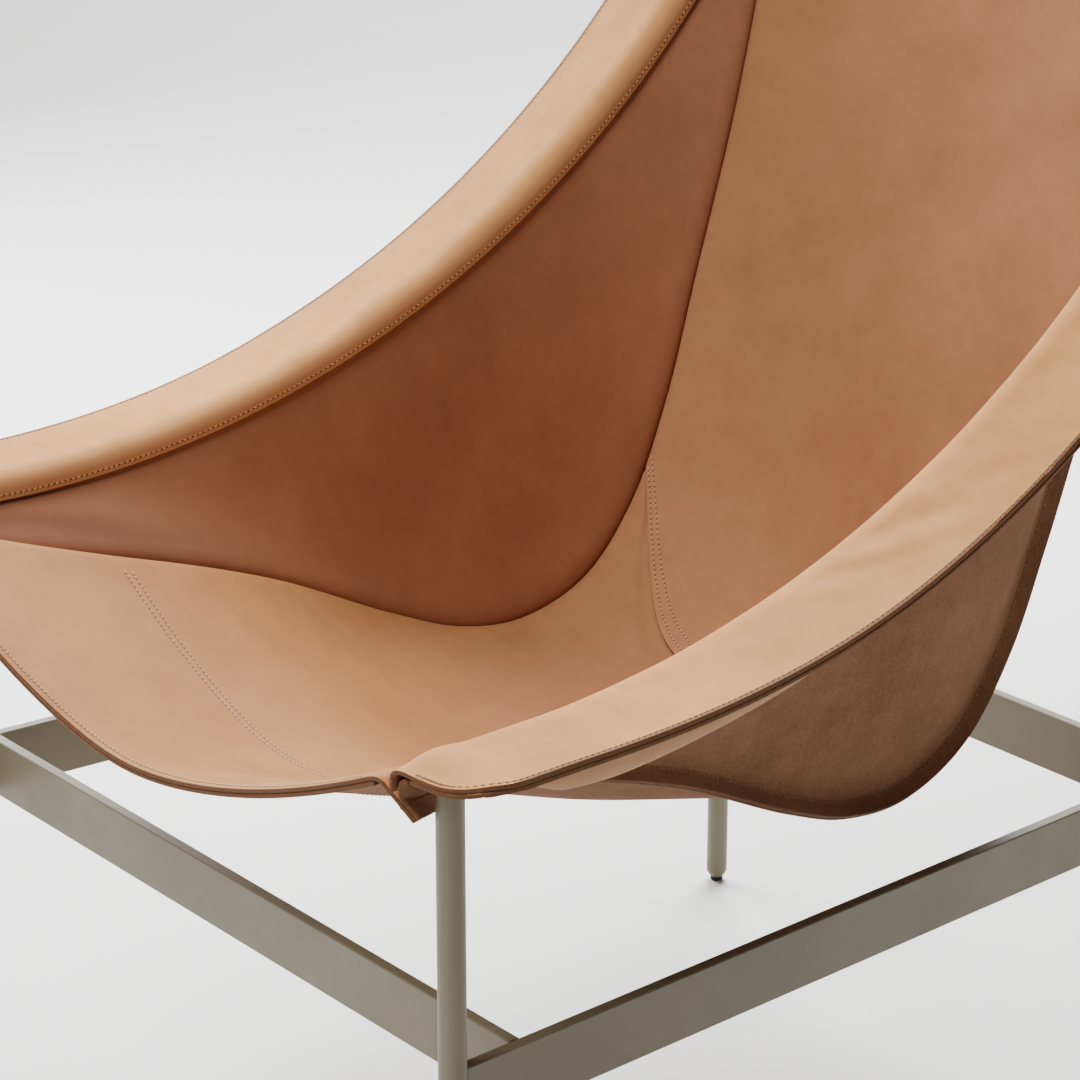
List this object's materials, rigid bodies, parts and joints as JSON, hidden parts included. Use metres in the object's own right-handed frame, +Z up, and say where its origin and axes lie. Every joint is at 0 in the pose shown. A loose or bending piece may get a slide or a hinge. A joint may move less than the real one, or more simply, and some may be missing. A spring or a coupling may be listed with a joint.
{
  "type": "lounge chair",
  "caption": "Low lounge chair with a sewn leather sling seat and back, hung by leather sleeves over bent arm rails on a slender painted metal frame with screw-in glides.",
  "frame": {"origin": "middle of the overall box in plan, on the floor", "axes": "+Z up, -Y towards the front of the chair, +X towards the sitter's left"},
  "size_m": [0.757, 0.8632, 0.9248],
  "materials": {
    "frame_paint": "satin warm grey",
    "leather_tan": "natural grain",
    "leather_pale": "natural grain, pale",
    "leather_dark": "suede outside",
    "glide_black": "matt",
    "steel": "plain"
  },
  "bodies": {
    "chair": {"arm_band_left": "leather_pale", "arm_band_right": "leather_pale", "arm_rail_left": "frame_paint", "arm_rail_right": "frame_paint", "back_panel": "leather_tan", "cross_bar_front": "frame_paint", "cross_bar_rear": "frame_paint", "front_facing": "leather_dark", "grub_screw_front_left": "steel", "grub_screw_front_right": "steel", "grub_screw_rear_left": "steel", "grub_screw_rear_right": "steel", "post_front_left": "frame_paint", "post_front_right": "frame_paint", "post_rear_left": "frame_paint", "post_rear_right": "frame_paint", "seat_panel": "leather_tan", "side_bar_left": "frame_paint", "side_bar_right": "frame_paint", "side_panel_left": "leather_dark", "side_panel_right": "leather_dark", "sleeve_hem_front_left": "leather_dark", "sleeve_hem_front_right": "leather_dark", "sleeve_hem_rear_left": "leather_dark", "sleeve_hem_rear_right": "leather_dark", "sleeve_underside_left": "leather_pale", "sleeve_underside_right": "leather_pale", "top_facing": "leather_dark"},
    "glide_front_left": {"glide_pad_front_left": "glide_black", "glide_stud_front_left": "steel"},
    "glide_front_right": {"glide_pad_front_right": "glide_black", "glide_stud_front_right": "steel"},
    "glide_rear_left": {"glide_pad_rear_left": "glide_black", "glide_stud_rear_left": "steel"},
    "glide_rear_right": {"glide_pad_rear_right": "glide_black", "glide_stud_rear_right": "steel"}
  },
  "joints": [
    {"name": "glide_front_left_travel", "type": "slide", "parent": "chair", "child": "glide_front_left", "axis": [0, 0, -1], "range_m": [0, 0.008]},
    {"name": "glide_front_right_travel", "type": "slide", "parent": "chair", "child": "glide_front_right", "axis": [0, 0, -1], "range_m": [0, 0.008]},
    {"name": "glide_rear_left_travel", "type": "slide", "parent": "chair", "child": "glide_rear_left", "axis": [0, 0, -1], "range_m": [0, 0.008]},
    {"name": "glide_rear_right_travel", "type": "slide", "parent": "chair", "child": "glide_rear_right", "axis": [0, 0, -1], "range_m": [0, 0.008]}
  ]
}
